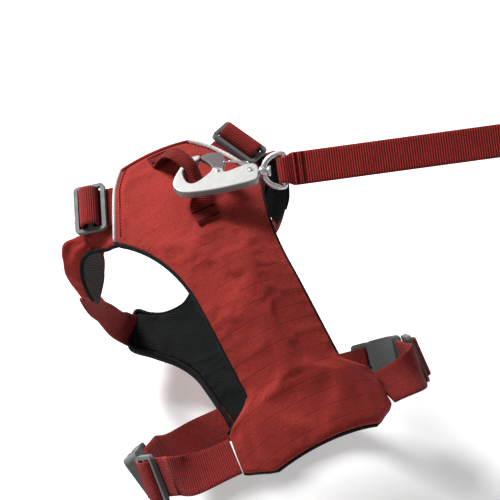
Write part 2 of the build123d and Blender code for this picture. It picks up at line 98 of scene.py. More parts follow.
add_camera()
area_light("key", (1.45, 0.55, 1.3), (0, 0, -0.03), 0.6, 80)
area_light("fill", (-0.9, 1.1, 0.9), (0, 0, -0.05), 1.2, 2)
area_light("back", (-0.3, -1.5, 1.0), (0, 0, 0), 0.9, 2)
world = bpy.data.worlds.new("studio")
world.use_nodes = True
world.node_tree.nodes["Background"].inputs[0].default_value = (1, 1, 1, 1)
world.node_tree.nodes["Background"].inputs[1].default_value = 0.22
scene.world = world
scene.view_settings.view_transform = "Standard"

# ---------------------------------------------------------------- materials


class Shader:
    """A material with short calls for its nodes."""

    def __init__(self, name, colour, rough, metallic=0.0, sheen=0.0, specular=0.5):
        self.mat = bpy.data.materials.new(name)
        self.mat.use_nodes = True
        self.tree = self.mat.node_tree
        self.bsdf = self.tree.nodes["Principled BSDF"]
        self.bsdf.inputs["Base Color"].default_value = (*colour, 1)
        self.bsdf.inputs["Roughness"].default_value = rough
        self.bsdf.inputs["Metallic"].default_value = metallic
        self.bsdf.inputs["Sheen Weight"].default_value = sheen
        self.bsdf.inputs["Specular IOR Level"].default_value = specular
        self.colour = colour

    def put(self, socket, value):
        if isinstance(value, bpy.types.NodeSocket):
            self.tree.links.new(value, socket)
        else:
            socket.default_value = value

    def math(self, operation, a, b=0.0):
        node = self.tree.nodes.new("ShaderNodeMath")
        node.operation = operation
        self.put(node.inputs[0], a)
        self.put(node.inputs[1], b)
        return node.outputs[0]

    def ramp(self, value, low, high, to_low=0.0, to_high=1.0):
        node = self.tree.nodes.new("ShaderNodeMapRange")
        node.interpolation_type = "SMOOTHSTEP"
        for socket, number in zip(node.inputs, (value, low, high, to_low, to_high)):
            self.put(socket, number)
        return node.outputs[0]

    def flat(self):
        """The two distances along the cloth, in millimetres."""
        split = self.tree.nodes.new("ShaderNodeSeparateXYZ")
        self.put(split.inputs[0], self.tree.nodes.new("ShaderNodeUVMap").outputs[0])
        return split.outputs[0], split.outputs[1]

    def place(self):
        return self.tree.nodes.new("ShaderNodeTexCoord").outputs["Object"]

    def noise(self, scale, detail=3.0, where=None):
        node = self.tree.nodes.new("ShaderNodeTexNoise")
        self.put(node.inputs["Vector"], where or self.place())
        node.inputs["Scale"].default_value = scale
        node.inputs["Detail"].default_value = detail
        return node.outputs["Fac"]

    def tint(self, *parts):
        """Multiply the base colour by the product of the parts."""
        total = parts[0]
        for part in parts[1:]:
            total = self.math("MULTIPLY", total, part)
        mix = self.tree.nodes.new("ShaderNodeVectorMath")
        mix.operation = "SCALE"
        mix.inputs[0].default_value = self.colour
        self.put(mix.inputs["Scale"], total)
        self.put(self.bsdf.inputs["Base Color"], mix.outputs[0])

    def bump(self, height, distance, strength=1.0):
        node = self.tree.nodes.new("ShaderNodeBump")
        node.inputs["Strength"].default_value = strength
        node.inputs["Distance"].default_value = distance * MM
        self.put(node.inputs["Height"], height)
        self.put(self.bsdf.inputs["Normal"], node.outputs[0])

    def rough(self, value):
        self.put(self.bsdf.inputs["Roughness"], value)


def wave(sh, value, pitch):
    """A sine of that pitch, from 0 to 1."""
    turns = sh.math("MULTIPLY", value, math.tau / pitch)
    return sh.math("ADD", sh.math("MULTIPLY", sh.math("SINE", turns), 0.5), 0.5)


def ripstop(name, colour):
    """Plain cloth with a faint grid of thicker threads."""
    sh = Shader(name, colour, 0.85, sheen=0.02, specular=0.1)
    u, v = sh.flat()
    weave = sh.math("MULTIPLY", wave(sh, u, 0.62), wave(sh, v, 0.62))
    grid = 9.3
    lines = []
    for axis, weight in ((u, 1.0), (v, 0.5)):
        near = sh.math("PINGPONG", axis, grid / 2)
        line = sh.ramp(near, 0.1, 0.42, 1.0, 0.0)
        lines.append(sh.math("MULTIPLY", line, weight))
    broken = sh.ramp(sh.noise(60, 2), 0.3, 0.62, 0.25, 1.0)
    grid_line = sh.math("MULTIPLY", sh.math("MAXIMUM", *lines), broken)
    worn = sh.ramp(sh.noise(28, 4), 0.3, 0.72, 0.88, 1.14)
    grain = sh.ramp(sh.noise(900, 2), 0.3, 0.7, 0.86, 1.12)
    dark_line = sh.math("SUBTRACT", 1.0, sh.math("MULTIPLY", grid_line, 0.09))
    sh.tint(worn, grain, dark_line)
    height = sh.math("ADD", sh.math("MULTIPLY", weave, 0.35), sh.math("MULTIPLY", grid_line, 0.5))
    height = sh.math("ADD", height, sh.math("MULTIPLY", sh.noise(260, 4), 0.9))
    sh.bump(height, 0.35, 0.8)
    return sh.mat


def webbing(name, colour):
    """Woven strap: one ridge across it for each whole step along it, of small rounded threads."""
    sh = Shader(name, colour, 0.75, sheen=0.02, specular=0.15)
    u, v = sh.flat()
    sway = sh.math("MULTIPLY", wave(sh, v, 2.2), 0.14)
    ridge = wave(sh, sh.math("ADD", u, sway), 1.0)
    thread = wave(sh, v, 1.1)
    body = sh.math("MULTIPLY", ridge, sh.ramp(thread, 0.0, 0.55, 0.5, 1.0))
    fuzz = sh.ramp(sh.noise(700, 2), 0.3, 0.7, 0.85, 1.15)
    # The tint follows the weave: the grooves between ridges are painted darker and the ridge tops lighter, as
    # painted shade and light on the threads.
    sh.tint(sh.ramp(body, 0.05, 0.7, 0.42, 1.35), fuzz, sh.ramp(sh.noise(40, 2), 0.3, 0.7, 0.9, 1.08))
    sh.bump(sh.math("ADD", body, sh.math("MULTIPLY", sh.noise(1200, 2), 0.25)), 0.45, 1.0)
    return sh.mat


def mesh_cloth(name, colour):
    """Lining: fine wavy cords that slant over the cloth."""
    sh = Shader(name, colour, 0.9, specular=0.03)
    u, v = sh.flat()
    sway = sh.math("MULTIPLY", sh.math("SINE", sh.math("MULTIPLY", v, 1.1)), 0.5)
    slant = sh.math("ADD", sh.math("ADD", u, sh.math("MULTIPLY", v, 0.8)), sway)
    cords = wave(sh, slant, 1.9)
    cross = wave(sh, v, 0.95)
    cells = sh.math("MULTIPLY", cords, sh.ramp(cross, 0, 1, 0.55, 1))
    # The tint follows the cords' relief: the gaps between cords are painted darker and the cords lighter, as
    # painted shade and light.
    sh.tint(sh.ramp(cells, 0.1, 0.8, 0.72, 1.35), sh.ramp(sh.noise(50, 3), 0.3, 0.7, 0.88, 1.12))
    sh.bump(cells, 0.4, 0.8)
    return sh.mat


def woven_edge(name, colour, pitch=0.9):
    sh = Shader(name, colour, 0.85, specular=0.05)
    u, v = sh.flat()
    ridge = sh.math("MULTIPLY", wave(sh, u, pitch), wave(sh, v, 1.1))
    # The tint follows the ridges: painted shade between them and painted light on their tops.
    sh.tint(sh.ramp(ridge, 0, 0.8, 0.75, 1.3), sh.ramp(sh.noise(300, 2), 0.3, 0.7, 0.85, 1.15))
    sh.bump(ridge, 0.2, 0.7)
    return sh.mat


def reflective(name, colour):
    sh = Shader(name, colour, 0.42, metallic=0.1, specular=0.6)
    u, v = sh.flat()
    beads = sh.math("MULTIPLY", wave(sh, u, 0.7), wave(sh, v, 0.7))
    # The bead tops are tinted slightly lighter than the hollows between them: a faint painted highlight and
    # shade.
    sh.tint(sh.ramp(sh.noise(220, 3), 0.3, 0.75, 0.85, 1.1), sh.ramp(beads, 0, 1, 0.94, 1.06))
    sh.bump(sh.math("ADD", beads, sh.noise(500, 2)), 0.12, 0.6)
    return sh.mat


def moulded(name, colour, rough, grain):
    sh = Shader(name, colour, rough, specular=0.3)
    soft = sh.noise(1500 if grain else 500, 3)
    sh.tint(sh.ramp(sh.noise(70, 4), 0.3, 0.75, 0.86, 1.12), sh.ramp(soft, 0.3, 0.7, 0.94, 1.05))
    sh.rough(sh.ramp(sh.noise(160, 3), 0.3, 0.7, rough - 0.08, rough + 0.1))
    sh.bump(soft, 0.05, 0.6)
    return sh.mat


def metal(name, colour, rough, brush, grain):
    sh = Shader(name, colour, rough, metallic=1.0)
    stretch = sh.tree.nodes.new("ShaderNodeMapping")
    sh.put(stretch.inputs[0], sh.place())
    stretch.inputs["Rotation"].default_value = (0, 0, 0.47)
    stretch.inputs["Scale"].default_value = (1, 0.12, 1) if brush else (1, 1, 1)
    lines = sh.noise(1600 if brush else 300, 4, stretch.outputs[0])
    sh.tint(sh.ramp(sh.noise(60, 3), 0.25, 0.75, 0.97, 1.02), sh.ramp(lines, 0.25, 0.75, 0.98, 1.02))
    sh.rough(sh.ramp(lines, 0.2, 0.8, rough - 0.03, rough + 0.04))
    sh.bump(lines, grain, 0.3)
    return sh.mat


RED = ripstop("ripstop red", (0.265, 0.026, 0.021))
STRAP = webbing("webbing red", (0.2, 0.0135, 0.011))
LEASH = webbing("leash webbing", (0.26, 0.0175, 0.0145))
THREAD = woven_edge("dark red thread", (0.06, 0.006, 0.006), 0.5)
BLACK = woven_edge("black binding", (0.012, 0.012, 0.013))
PIPING = reflective("reflective piping", (0.6, 0.6, 0.59))
LINING = mesh_cloth("dark lining", (0.011, 0.0117, 0.012))
# An almost black copy of the lining for the right shoulder leaf, which lies in shadow: painted shade.
SHADED_LINING = mesh_cloth("lining in painted shade", (0.006, 0.006, 0.0065))
WARM_LINING = mesh_cloth("warm lining", (0.052, 0.043, 0.042))
GREY = moulded("grey plastic", (0.1, 0.104, 0.105), 0.5, True)
SILVER = metal("brushed hook", (0.6, 0.6, 0.59), 0.5, True, 0.004)
# A darker copy of the hook's silver for its sides and for the ring round the tail rivet: painted shade.
SHADED_HOOK_SILVER = metal("cast hook side in painted shade", (0.24, 0.24, 0.245), 0.5, False, 0.004)
LEVER = moulded("gate lever", (0.135, 0.112, 0.112), 0.4, False)
STEEL = metal("polished steel", (0.72, 0.72, 0.73), 0.34, False, 0.001)

# ---------------------------------------------------------------- lines, straps and tubes


def smooth_line(rows, per=12, closed=False):
    """A smooth line through the rows, whose first three columns are its points."""
    p = np.asarray(rows, float)
    if closed:
        ext, count = np.vstack([p[-1:], p, p[:2]]), len(p)
    else:
        ext, count = np.vstack([2 * p[0] - p[1], p, 2 * p[-1] - p[-2]]), len(p) - 1
    t = np.linspace(0, 1, per, endpoint=False)[:, None]
    parts = []
    for i in range(count):
        a, b, c, d = ext[i:i + 4]
        parts.append(0.5 * (2 * b + (c - a) * t + (2 * a - 5 * b + 4 * c - d) * t ** 2
                            + (3 * b - a - 3 * c + d) * t ** 3))
    parts.append(p[:1] if closed else p[-1:])
    return np.vstack(parts)


def resample(rows, step):
    """The distance to each of the even stations along the line, and the stations."""
    gaps = np.linalg.norm(np.diff(rows[:, :3], axis=0), axis=1)
    along = np.concatenate([[0], np.cumsum(gaps)])
    count = max(3, int(round(along[-1] / step)) + 1)
    at = np.linspace(0, along[-1], count)
    return at, np.column_stack([np.interp(at, along, rows[:, k]) for k in range(rows.shape[1])])


def unit(v):
    return v / np.maximum(np.linalg.norm(v, axis=-1, keepdims=True), 1e-9)


def frames(rows, closed=False):
    """Travel, across and outward directions at each station."""
    line = rows[:, :3]
    if closed:
        travel = np.roll(line[:-1], -1, 0) - np.roll(line[:-1], 1, 0)
        travel = np.vstack([travel, travel[:1]])
    else:
        travel = np.gradient(line, axis=0)
    travel = unit(travel)
    across = unit(np.cross(rows[:, 3:6], travel))
    return travel, across, np.cross(travel, across)


def make_mesh(name, verts, faces, uvs, mat, smooth=True):
    mesh = bpy.data.meshes.new(name)
    mesh.from_pydata((np.asarray(verts) * MM).tolist(), [], faces)
    layer = mesh.uv_layers.new(name="UVMap")
    index = np.empty(len(mesh.loops), int)
    mesh.loops.foreach_get("vertex_index", index)
    layer.data.foreach_set("uv", np.asarray(uvs, np.float32)[index].ravel())
    mesh.polygons.foreach_set("use_smooth", [smooth] * len(mesh.polygons))
    mesh.materials.append(mat)
    obj = bpy.data.objects.new(name, mesh)
    scene.collection.objects.link(obj)
    return obj


def tube_faces(count, ring, closed=False):
    """Quads along a tube of count stations, and its two end caps unless it is closed."""
    faces = []
    for i in range(count if closed else count - 1):
        a, b = i * ring, ((i + 1) % count) * ring
        faces += [(a + j, a + (j + 1) % ring, b + (j + 1) % ring, b + j) for j in range(ring)]
    if not closed:
        faces.append(tuple(reversed(range(ring))))
        faces.append(tuple(range((count - 1) * ring, count * ring)))
    return faces


def with_outs(route, outs, *columns):
    count = len(route)
    outs = np.asarray(outs, float)
    if outs.ndim == 1:
        outs = np.tile(outs, (count, 1))
    full = [np.full(count, c, float) if np.isscalar(c) else np.asarray(c, float) for c in columns]
    return np.column_stack([np.asarray(route, float), unit(outs)] + full)


def put(obj, body, slot, *replaced):
    """Ride the piece on its body and hide the CAD nodes that it stands for. The slot is not used."""
    if replaced:
        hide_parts(*replaced)
    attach(obj, body)
    return obj


def strap(name, route, outs, width, thick, mat, rib=1.35, rib_high=0.07, curl=0.0, per=12):
    """Flat webbing with ridges across it. Curl lowers its edges below its middle."""
    rows = smooth_line(with_outs(route, outs, width, curl), per)
    at, rows = resample(rows, rib / 4)
    travel, across, out = frames(rows)
    shares = np.linspace(-0.96, 0.96, 11)
    section = [(s, 1.0) for s in shares] + [(0.99, 0.7), (1.0, 0), (0.99, -0.7)]
    section += [(-s, -1.0) for s in shares] + [(-0.99, -0.7), (-1.0, 0), (-0.99, 0.7)]
    section = np.array(section)
    ridge = -rib_high * np.cos(math.tau * at / rib + 0.6)
    side, lift = section[:, 0], section[:, 1]
    wide = side[None, :] * rows[:, 6:7] / 2
    high = lift[None, :] * (thick / 2 + ridge[:, None]) - rows[:, 7:8] * side[None, :] ** 2
    verts = (rows[:, None, :3] + across[:, None] * wide[..., None] + out[:, None] * high[..., None])
    uvs = np.stack([np.broadcast_to(at[:, None] / rib, wide.shape), wide + 40], -1)
    return make_mesh(name, verts.reshape(-1, 3), tube_faces(len(at), len(section)), uvs.reshape(-1, 2), mat)


def roll(name, route, outs, half_out, half_side, mat, step=0.8, closed=False, square=2.6, sides=16,
         bead=0.0):
    """A rounded tube along a line: half_out is its reach outward and half_side its reach sideways."""
    rows = smooth_line(with_outs(route, outs, half_out, half_side), 10, closed)
    at, rows = resample(rows, step)
    travel, across, out = frames(rows, closed)
    if closed:
        at, rows, across, out = at[:-1], rows[:-1], across[:-1], out[:-1]
    angle = np.linspace(0, math.tau, sides, endpoint=False)
    cos, sin = np.cos(angle), np.sin(angle)
    a = np.sign(cos) * np.abs(cos) ** (2 / square)
    b = np.sign(sin) * np.abs(sin) ** (2 / square)
    swell = 1 + bead * np.sin(math.tau * at / 2.6)[:, None]
    verts = (rows[:, None, :3] + across[:, None] * (rows[:, 7:8] * a[None] * swell)[..., None]
             + out[:, None] * (rows[:, 6:7] * b[None] * swell)[..., None])
    reach = float(rows[:, 6].mean() + rows[:, 7].mean())
    uvs = np.stack(np.broadcast_arrays(at[:, None], (angle * reach / 2)[None]), -1)
    return make_mesh(name, verts.reshape(-1, 3), tube_faces(len(at), sides, closed), uvs.reshape(-1, 2), mat)


def stitches(name, lines, out, pitch=2.1, length=1.55, thick=0.32):
    """Short raised threads along each line."""
    verts, faces = [], []
    ring, steps = 6, ((-0.5, 0.25), (-0.32, 1.0), (0.32, 1.0), (0.5, 0.25))
    for line in lines:
        at, rows = resample(smooth_line(with_outs(line, out), 8), pitch)
        travel, across, up = frames(rows)
        for i in range(len(at)):
            base = len(verts)
            for reach, size in steps:
                for j in range(ring):
                    turn = math.tau * j / ring
                    verts.append(rows[i, :3] + travel[i] * reach * length
                                 + (across[i] * math.cos(turn) + up[i] * math.sin(turn)) * thick * size)
            faces += [tuple(base + k for k in f) for f in tube_faces(len(steps), ring)]
    verts = np.array(verts)
    return make_mesh(name, verts, faces, verts[:, :2], THREAD)


# ---------------------------------------------------------------- padded pieces

CLOTH_STEPS = 20


def slab(name, grid, top, bottom, mat):
    """A closed pad over a grid of points: top and bottom surfaces joined round the edge."""
    upper = np.dstack([grid[..., 0], grid[..., 1], top])
    lower = np.dstack([grid[..., 0], grid[..., 1], bottom])
    return slab_between(name, upper, lower, mat)


def slab_between(name, upper, lower, mat):
    """A closed pad from its upper and lower surfaces. Its rim's vertices are kept for inflate."""
    rows, columns = upper.shape[:2]
    verts = np.vstack([upper.reshape(-1, 3), lower.reshape(-1, 3)])
    half = rows * columns

    def at(i, j, low=0):
        return low * half + i * columns + j
    faces = []
    for i in range(rows - 1):
        for j in range(columns - 1):
            faces.append((at(i, j), at(i + 1, j), at(i + 1, j + 1), at(i, j + 1)))
            faces.append((at(i, j, 1), at(i, j + 1, 1), at(i + 1, j + 1, 1), at(i + 1, j, 1)))
    rim = [(0, j) for j in range(columns)] + [(i, columns - 1) for i in range(1, rows)]
    rim += [(rows - 1, j) for j in range(columns - 2, -1, -1)] + [(i, 0) for i in range(rows - 2, 0, -1)]
    for k, here in enumerate(rim):
        then = rim[(k + 1) % len(rim)]
        faces.append((at(*here), at(*then), at(*then, 1), at(*here, 1)))
    uvs = []
    for sheet in (upper, lower):
        wide = np.cumsum(np.pad(np.linalg.norm(np.diff(sheet, axis=1), axis=2), ((0, 0), (1, 0))), 1)
        wide = wide - wide[:, columns // 2:columns // 2 + 1]
        long = np.cumsum(np.pad(np.linalg.norm(np.diff(sheet, axis=0), axis=2), ((1, 0), (0, 0))), 0)
        long = np.broadcast_to(long[:, columns // 2:columns // 2 + 1], wide.shape)
        uvs.append(np.stack([long, wide + 200], -1).reshape(-1, 2))
    obj = make_mesh(name, verts, faces, np.vstack(uvs), mat)
    obj["rim"] = json.dumps([at(*r, low) for r in rim for low in (0, 1)])
    return obj


def inflate(obj, cap, pressure, pins=()):
    """Swell the pad as filled cloth, hold its rim and seams, and limit how far a point moves."""
    held = sorted(set(json.loads(obj["rim"])) | set(pins))
    del obj["rim"]
    before = np.empty(len(obj.data.vertices) * 3)
    obj.data.vertices.foreach_get("co", before)
    obj.vertex_groups.new(name="held").add(held, 1.0, "REPLACE")
    cloth = obj.modifiers.new("cloth", "CLOTH")
    cloth.settings.vertex_group_mass = "held"
    cloth.settings.use_pressure = True
    cloth.settings.uniform_pressure_force = pressure
    cloth.settings.shrink_min = -0.02
    cloth.settings.quality = 6
    cloth.settings.effector_weights.gravity = 0
    cloth.settings.tension_stiffness = 40
    cloth.settings.compression_stiffness = 40
    cloth.settings.bending_stiffness = 0.6
    cloth.point_cache.frame_start, cloth.point_cache.frame_end = 1, CLOTH_STEPS
    for step in range(1, CLOTH_STEPS + 1):
        scene.frame_set(step)
    swollen = obj.evaluated_get(bpy.context.evaluated_depsgraph_get())
    after = np.empty(len(before))
    swollen.to_mesh().vertices.foreach_get("co", after)
    swollen.to_mesh_clear()
    obj.modifiers.remove(cloth)
    scene.frame_set(1)
    move = (after - before).reshape(-1, 3)
    size = np.linalg.norm(move, axis=1, keepdims=True)
    move = move * (cap * MM * np.tanh(size / (cap * MM)) / np.maximum(size, 1e-12))
    obj.data.vertices.foreach_set("co", (before.reshape(-1, 3) + move).ravel())
    obj.vertex_groups.clear()
    refine(obj)
    return obj


def refine(obj):
    """Apply one level of subdivision surface."""
    sub = obj.modifiers.new("fine", "SUBSURF")
    sub.levels = sub.render_levels = 1
    bake_modifiers(obj)


def bake_modifiers(obj):
    done = bpy.data.meshes.new_from_object(obj.evaluated_get(bpy.context.evaluated_depsgraph_get()))
    obj.modifiers.clear()
    obj.data = done


def press(obj, lift):
    """Move each vertex along its normal by what lift gives, in millimetres, for all places and normals."""
    count = len(obj.data.vertices) * 3
    places, normals = np.empty(count), np.empty(count, np.float32)
    obj.data.vertices.foreach_get("co", places)
    obj.data.vertex_normals.foreach_get("vector", normals)
    places, normals = places.reshape(-1, 3), normals.reshape(-1, 3)
    change = np.asarray(lift(places / MM, normals))[:, None] * normals * MM
    obj.data.vertices.foreach_set("co", (places + change).ravel())
    obj.data.update()


def on_side(points, side):
    return np.asarray(points, float) * (1, side, 1)


# ---------------------------------------------------------------- back panel

PANEL_THICK = 5.6
PANEL_ROWS, PANEL_COLUMNS = 88, 44
STRIP_HALF = 31.0
BACK_RADIUS = 75.0
armhole_curve = np.polyfit([41, 12, -24], [50, 37.2, STRIP_HALF], 2)


def spine_height(x):
    x = np.asarray(x, float)
    slope = 2 * 67 / 340
    return np.where(x >= -45, 7 - (x - 22) ** 2 / 340, 7 - 67 ** 2 / 340 - slope * (-45 - x))


def back_height(x, y):
    return spine_height(x) - BACK_RADIUS + np.sqrt(BACK_RADIUS ** 2 - np.asarray(y, float) ** 2)


panel_corners = [(-128.5, 34), (-126.5, 38), (-117, 51), (-93.5, 48.5), (-91, 38), (-86, STRIP_HALF),
                 (-24, STRIP_HALF)]
panel_corners += [(a, np.polyval(armhole_curve, a)) for a in range(-18, 41, 6)]
panel_corners = np.array(panel_corners + [(41, 50), (60, 40), (73, 33), (84, 23)])


def half_width(x):
    """Half the back panel's width."""
    return np.interp(x, panel_corners[:, 0], panel_corners[:, 1])


def panel_normal(x, y):
    """The outward direction of the back panel there."""
    y = np.asarray(y, float)
    x = np.asarray(x, float)
    slope = (spine_height(x + 0.5) - spine_height(x - 0.5))
    fall = -y / np.sqrt(BACK_RADIUS ** 2 - y ** 2)
    return unit(np.stack([-slope, -fall, np.ones_like(y + x)], -1))


def seam(x, y, lines, wide):
    """How near a point is to a seam, from 0 far off to 1 on it."""
    nearest = np.full(np.shape(x), 1e9)
    for a, b in lines:
        a, b = np.array(a, float), np.array(b, float)
        along = np.clip(((x - a[0]) * (b - a)[0] + (y - a[1]) * (b - a)[1]) / ((b - a) @ (b - a)), 0, 1)
        nearest = np.minimum(nearest, np.hypot(x - a[0] - along * (b - a)[0], y - a[1] - along * (b - a)[1]))
    return np.exp(-(nearest / wide) ** 2)


PIPING_INNER = [(83.2, 20.4), (72.3, 30.4), (59.3, 37.5), (42.2, 46.4)]
FOOT_BOXES = [((72.5, -6), (72.5, 8)), ((79, -6), (79, 8)), ((14.5, -8), (14.5, 8)), ((22.5, -8), (22.5, 8))]
panel_seams = FOOT_BOXES + [((a, b * s), (c, d * s)) for s in (1, -1)
                            for (a, b), (c, d) in zip(PIPING_INNER, PIPING_INNER[1:])]


def wrinkle(places, scale, seed):
    """Smooth noise, from about -1 to 1, with that size along each axis."""
    shifted = places / np.array(scale, float) + (seed, 0, seed)
    return np.array([noise.noise(Vector(p)) for p in shifted])


def panel_lift(places, normals):
    x, y = places[:, 0], places[:, 1]
    near_loop = np.exp(-((x - 46) / 34) ** 2 - (y / 22) ** 2)
    near_edge = np.exp(-(np.maximum(half_width(x) - np.abs(y), 0) / 5.5) ** 2)
    lift = 0.55 * wrinkle(places, (17, 30, 30), 3) + 0.35 * wrinkle(places, (9, 8, 9), 11)
    lift += near_loop * 1.1 * wrinkle(places, (8, 16, 30), 21)
    lift += near_edge * 0.5 * wrinkle(places, (4.5, 30, 30), 37)
    lift -= 0.9 * seam(x, y, panel_seams, 1.3)
    return lift * np.sqrt(np.maximum(normals[:, 2], 0))


def panel_grid(inset):
    """Points of the back panel in plan, closer together towards its sides."""
    rows, columns = PANEL_ROWS, PANEL_COLUMNS
    xs = np.linspace(83.6, -128.5, rows)
    s = np.linspace(-1, 1, columns)
    s = s * (1.12 - 0.12 * s ** 2)
    wide = half_width(xs) - inset
    return np.dstack([np.broadcast_to(xs[:, None], (rows, columns)), wide[:, None] * s[None]])


def edge_drop(grid, depth, reach):
    """Round the pad's top down towards its edge."""
    from_side = half_width(grid[..., 0]) - np.abs(grid[..., 1])
    from_end = np.minimum(84 - grid[..., 0], grid[..., 0] + 129)
    return depth * np.exp(-(np.minimum(from_side, from_end) / reach) ** 2)


grid = panel_grid(0.0)
height = back_height(grid[..., 0], grid[..., 1])
drop = edge_drop(grid, 0.7, 3.0)
pinned = np.argwhere(seam(grid[..., 0], grid[..., 1], panel_seams, 1.6) > 0.4)
pins = [int(i * PANEL_COLUMNS + j) for i, j in pinned]
cover = slab("back_panel_cover", grid, height - drop, height - 2.9 + drop * 0.4, RED)
inflate(cover, 1.3, 2.5, pins)
press(cover, panel_lift)
put(cover, "harness", "ripstop_red", "back_panel_shell", "back_panel_foam")

grid = panel_grid(0.8)
height = back_height(grid[..., 0], grid[..., 1])
lining = slab("back_panel_mesh_lining", grid, height - 3.1, height - PANEL_THICK, LINING)
del lining["rim"]
put(lining, "harness", "lining_dark", "back_panel_lining")

for word, side in SIDES.items():
    xs = np.concatenate([np.linspace(41.6, -24, 22), np.linspace(-30, -86, 12)])
    ys = (half_width(xs) - 0.75) * side
    mid = back_height(xs, ys) - PANEL_THICK / 2 - 0.95
    binding = roll(f"armhole_edge_{word}", np.column_stack([xs, ys, mid]), panel_normal(xs, ys),
                   2.75, 1.5, BLACK, bead=0.02)
    put(binding, "harness", "binding_black", f"armhole_binding_{word}")
    rear = [(-86.3, 30.4), (-91, 35.9), (-93, 42), (-93.5, 48)]
    xs, ys = np.array(rear).T
    ys = ys * side
    mid = back_height(xs, ys) - PANEL_THICK / 2 - 0.9
    put(roll(f"girth_arm_edge_{word}", np.column_stack([xs, ys, mid]), panel_normal(xs, ys),
             2.6, 1.3, BLACK), "harness", "binding_black")

    line = np.array([(84.0, 22.6), (79, 27.8), (73, 32.8), (66, 37), (60, 40.2), (50, 45.4), (42.8, 49.1)])
    xs, ys = line[:, 0], line[:, 1] * side
    wide = np.array([0.85, 1.1, 1.2, 1.2, 1.15, 1.0, 0.85])
    top = np.column_stack([xs, ys, back_height(xs, ys) - 2.0])
    piping = roll(f"piping_{word}", top, panel_normal(xs, ys), 2.9, wide, PIPING, 0.6, square=2.2, bead=0.02)
    put(piping, "harness", "piping_grey", f"reflective_piping_{word}")
    inner = np.array(PIPING_INNER) * (1, side)
    row = np.column_stack([inner, back_height(inner[:, 0], inner[:, 1]) + 0.25])
    put(stitches(f"piping_stitches_{word}", [row], (0, 0.5 * side, 0.85), thick=0.36), "harness",
        "thread_dark")

ys = np.linspace(-22.7, 22.7, 15)
xs = np.full_like(ys, 83.8)
hem = roll("neckline_hem", np.column_stack([xs, ys, back_height(xs, ys) - PANEL_THICK / 2]),
           panel_normal(xs, ys), 2.9, 1.3, RED, bead=0.015)
put(hem, "harness", "binding_black", "neckline_binding")

# ---------------------------------------------------------------- back leash loop

LOOP_THICK = 1.8


def on_panel(x, y, above=0.0):
    return (x, y, float(back_height(x, y)) + LOOP_THICK / 2 + 0.2 + above)


loop_route = [on_panel(79, 1), on_panel(75, 1), on_panel(71.5, 1), (69.3, 0.5, 7.4), (66, 0, 16.3),
              (60, -1, 23), (53, -3, 24), (47.5, -4.5, 22), (43.2, -5, 18.4), (39.3, -5, 14.4),
              (35.5, -4.5, 12.7), (29.5, -2.2, 10.3), on_panel(24.8, -0.2, 0.1), on_panel(19.3, 0.2),
              on_panel(14.5, 0.4)]
loop_out = [(0.1, 0, 1)] * 3 + [(0.9, 0, 0.3), (0.85, 0, 0.5), (0.45, 0, 0.9), (-0.1, 0, 1), (-0.4, 0, 0.9),
                                (-0.6, 0, 0.8), (-0.5, 0, 0.85), (-0.25, 0, 0.95)] + [(-0.1, 0, 1)] * 4
loop_wide = [14.5, 14.5, 14.5, 13, 11, 9.8, 9.2, 8.8, 8.6, 8.6, 9.4, 12, 15, 15, 15]
loop_curl = [0, 0, 0, 0.5, 1.6, 2.6, 3.1, 3.1, 2.8, 2.2, 1.6, 0.7, 0, 0, 0]
loop = strap("leash_loop_webbing", loop_route, loop_out, loop_wide, 1.7, STRAP, 1.15, 0.1, loop_curl)
put(loop, "harness", "webbing_red", "back_leash_loop")

tack_lines = [[(x + shift, y, float(back_height(x, y)) + LOOP_THICK + 0.35) for y in (-6.6, 0, 7.2)]
              for x in (73.2, 78.2, 15.6, 22.6) for shift in (0, 0.55)]
put(stitches("loop_tack_stitches", tack_lines, (0, 0, 1), pitch=1.5, length=1.3, thick=0.38), "harness",
    "thread_dark", "loop_bar_tacks")

# ---------------------------------------------------------------- adjusters


def strap_place(start, end, share, outward):
    """Origin, along, across and outward directions on a straight strap."""
    along = unit(end - start)
    across = unit(np.cross(outward, along))
    return start + (end - start) * share, along, across, np.cross(along, across)


def soften(node, name, body, slot, mat, width):
    """A copy of a CAD node with its sharp edges rounded."""
    mesh = nodes[node].data.copy()
    obj = bpy.data.objects.new(name, mesh)
    scene.collection.objects.link(obj)
    work = bmesh.new()
    work.from_mesh(mesh)
    bmesh.ops.remove_doubles(work, verts=work.verts, dist=1e-6)
    bmesh.ops.dissolve_limit(work, angle_limit=math.radians(3), verts=work.verts, edges=work.edges)
    work.to_mesh(mesh)
    work.free()
    bevel = obj.modifiers.new("round", "BEVEL")
    bevel.width = width * MM
    bevel.segments = 3
    bevel.limit_method = "ANGLE"
    bevel.angle_limit = math.radians(38)
    bevel.use_clamp_overlap = True
    bake_modifiers(obj)
    obj.data.polygons.foreach_set("use_smooth", [True] * len(obj.data.polygons))
    obj.data.materials.clear()
    obj.data.materials.append(mat)
    obj.modifiers.new("shade", "WEIGHTED_NORMAL").keep_sharp = True
    return put(obj, body, slot, node)


def fold_over_bar(name, place, base, top, reach, mat):
    """The webbing that comes up one slot, over the bar and down the other."""
    origin, along, across, out = place
    half = [(reach - 3, top + 2.2), (reach - 1.3, top + 0.7), (reach - 0.8, top - 1.2), (reach - 0.9, base)]
    shape = [(-a, b) for a, b in half[::-1]] + [(0, top + 2.9)] + half
    route = [origin + along * a + out * b for a, b in shape]
    outs = [-along, -along, unit(out * 0.6 - along), unit(out - along * 0.35), out, unit(out + along * 0.35),
            unit(out * 0.6 + along), along, along]
    return strap(name, route, outs, 24.6, 1.75, mat, 1.15, 0.1)


NECK_START, NECK_END = (65.5, 40.5, -12.2), (74.9, 56.9, -18.8)
NECK_OUT = (-0.01, 0.42, 0.91)
GIRTH_ROUTE = [(-105.2, 51.7, -53.6), (-102.5, 66, -58), (-98, 77.5, -63), (-91, 84, -68)]
BUCKLE_START, BUCKLE_END = (-64, 91, -101), (-32, 62, -139)
SIDE_OUT, BUCKLE_OUT = (-0.05, 1, 0.1), (0.1, 0.85, -0.5)
WEBBING_WIDE, WEBBING_THICK = 25, 1.9

